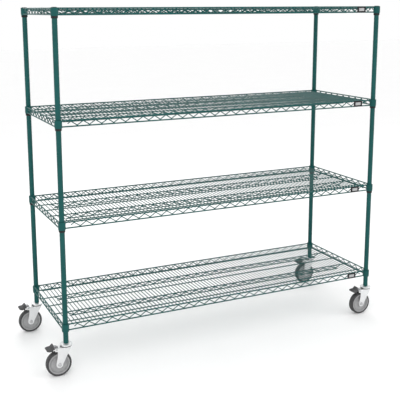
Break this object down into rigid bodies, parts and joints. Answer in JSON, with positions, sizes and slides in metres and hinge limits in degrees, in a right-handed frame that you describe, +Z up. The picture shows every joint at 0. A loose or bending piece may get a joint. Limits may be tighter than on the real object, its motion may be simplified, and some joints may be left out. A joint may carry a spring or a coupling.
{
  "type": "wire shelf cart",
  "caption": "Wheeled wire shelf cart: shelves of welded wire wedged onto grooved tube posts, on swivel casters with foot brakes.",
  "frame": {"origin": "on the floor, at the middle of the whole footprint with all four casters trailing towards -X", "axes": "+X along the shelves, +Y from the front to the back, +Z up"},
  "size_m": [1.9232, 0.6316, 1.7565],
  "materials": {
    "epoxy_green": "satin",
    "black_plastic": "matte",
    "label_plastic": "satin",
    "zinc_plate": "satin",
    "bearing_steel": "polished",
    "pedal_plastic": "satin",
    "tread_rubber": "matte",
    "hub_plastic": "satin"
  },
  "bodies": {
    "cart_frame": {"post_front_left": "epoxy_green", "post_front_right": "epoxy_green", "post_back_left": "epoxy_green", "post_back_right": "epoxy_green", "top_shelf_deck": "epoxy_green", "top_shelf_trusses": "epoxy_green", "top_shelf_rails": "epoxy_green", "top_shelf_collars": "epoxy_green", "top_shelf_sleeves": "black_plastic", "upper_shelf_deck": "epoxy_green", "upper_shelf_trusses": "epoxy_green", "upper_shelf_rails": "epoxy_green", "upper_shelf_collars": "epoxy_green", "upper_shelf_sleeves": "black_plastic", "lower_shelf_deck": "epoxy_green", "lower_shelf_trusses": "epoxy_green", "lower_shelf_rails": "epoxy_green", "lower_shelf_collars": "epoxy_green", "lower_shelf_sleeves": "black_plastic", "bottom_shelf_deck": "epoxy_green", "bottom_shelf_trusses": "epoxy_green", "bottom_shelf_rails": "epoxy_green", "bottom_shelf_collars": "epoxy_green", "bottom_shelf_sleeves": "black_plastic", "post_caps": "black_plastic", "label_plates": "label_plastic", "stem_expanders": "black_plastic", "front_left_stem": "zinc_plate", "front_right_stem": "zinc_plate", "back_left_stem": "zinc_plate", "back_right_stem": "zinc_plate"},
    "front_left_swivel": {"front_left_fork": "zinc_plate", "front_left_swivel_balls": "bearing_steel", "front_left_fasteners": "zinc_plate"},
    "front_left_wheel": {"front_left_wheel_tread": "tread_rubber", "front_left_wheel_hub": "hub_plastic", "front_left_wheel_bearings": "bearing_steel"},
    "front_left_brake": {"front_left_brake_pedal": "pedal_plastic"},
    "front_right_swivel": {"front_right_fork": "zinc_plate", "front_right_swivel_balls": "bearing_steel", "front_right_fasteners": "zinc_plate"},
    "front_right_wheel": {"front_right_wheel_tread": "tread_rubber", "front_right_wheel_hub": "hub_plastic", "front_right_wheel_bearings": "bearing_steel"},
    "front_right_brake": {"front_right_brake_pedal": "pedal_plastic"},
    "back_left_swivel": {"back_left_fork": "zinc_plate", "back_left_swivel_balls": "bearing_steel", "back_left_fasteners": "zinc_plate"},
    "back_left_wheel": {"back_left_wheel_tread": "tread_rubber", "back_left_wheel_hub": "hub_plastic", "back_left_wheel_bearings": "bearing_steel"},
    "back_left_brake": {"back_left_brake_pedal": "pedal_plastic"},
    "back_right_swivel": {"back_right_fork": "zinc_plate", "back_right_swivel_balls": "bearing_steel", "back_right_fasteners": "zinc_plate"},
    "back_right_wheel": {"back_right_wheel_tread": "tread_rubber", "back_right_wheel_hub": "hub_plastic", "back_right_wheel_bearings": "bearing_steel"},
    "back_right_brake": {"back_right_brake_pedal": "pedal_plastic"}
  },
  "joints": [
    {"name": "front_left_swivel_turn", "type": "hinge", "parent": "cart_frame", "child": "front_left_swivel", "pos_m": [-0.8591, -0.28575, 0.15], "axis": [0, 0, 1], "continuous": true},
    {"name": "front_left_wheel_roll", "type": "hinge", "parent": "front_left_swivel", "child": "front_left_wheel", "pos_m": [-0.8991, -0.28575, 0.0625], "axis": [0, 1, 0], "continuous": true},
    {"name": "front_left_brake_press", "type": "hinge", "parent": "front_left_swivel", "child": "front_left_brake", "pos_m": [-0.9111, -0.28575, 0.141], "axis": [0, -1, 0], "range_deg": [0, 18]},
    {"name": "front_right_swivel_turn", "type": "hinge", "parent": "cart_frame", "child": "front_right_swivel", "pos_m": [0.9316, -0.28575, 0.15], "axis": [0, 0, 1], "continuous": true},
    {"name": "front_right_wheel_roll", "type": "hinge", "parent": "front_right_swivel", "child": "front_right_wheel", "pos_m": [0.8916, -0.28575, 0.0625], "axis": [0, 1, 0], "continuous": true},
    {"name": "front_right_brake_press", "type": "hinge", "parent": "front_right_swivel", "child": "front_right_brake", "pos_m": [0.8796, -0.28575, 0.141], "axis": [0, -1, 0], "range_deg": [0, 18]},
    {"name": "back_left_swivel_turn", "type": "hinge", "parent": "cart_frame", "child": "back_left_swivel", "pos_m": [-0.8591, 0.28575, 0.15], "axis": [0, 0, 1], "continuous": true},
    {"name": "back_left_wheel_roll", "type": "hinge", "parent": "back_left_swivel", "child": "back_left_wheel", "pos_m": [-0.8991, 0.28575, 0.0625], "axis": [0, 1, 0], "continuous": true},
    {"name": "back_left_brake_press", "type": "hinge", "parent": "back_left_swivel", "child": "back_left_brake", "pos_m": [-0.9111, 0.28575, 0.141], "axis": [0, -1, 0], "range_deg": [0, 18]},
    {"name": "back_right_swivel_turn", "type": "hinge", "parent": "cart_frame", "child": "back_right_swivel", "pos_m": [0.9316, 0.28575, 0.15], "axis": [0, 0, 1], "continuous": true},
    {"name": "back_right_wheel_roll", "type": "hinge", "parent": "back_right_swivel", "child": "back_right_wheel", "pos_m": [0.8916, 0.28575, 0.0625], "axis": [0, 1, 0], "continuous": true},
    {"name": "back_right_brake_press", "type": "hinge", "parent": "back_right_swivel", "child": "back_right_brake", "pos_m": [0.8796, 0.28575, 0.141], "axis": [0, -1, 0], "range_deg": [0, 18]}
  ]
}
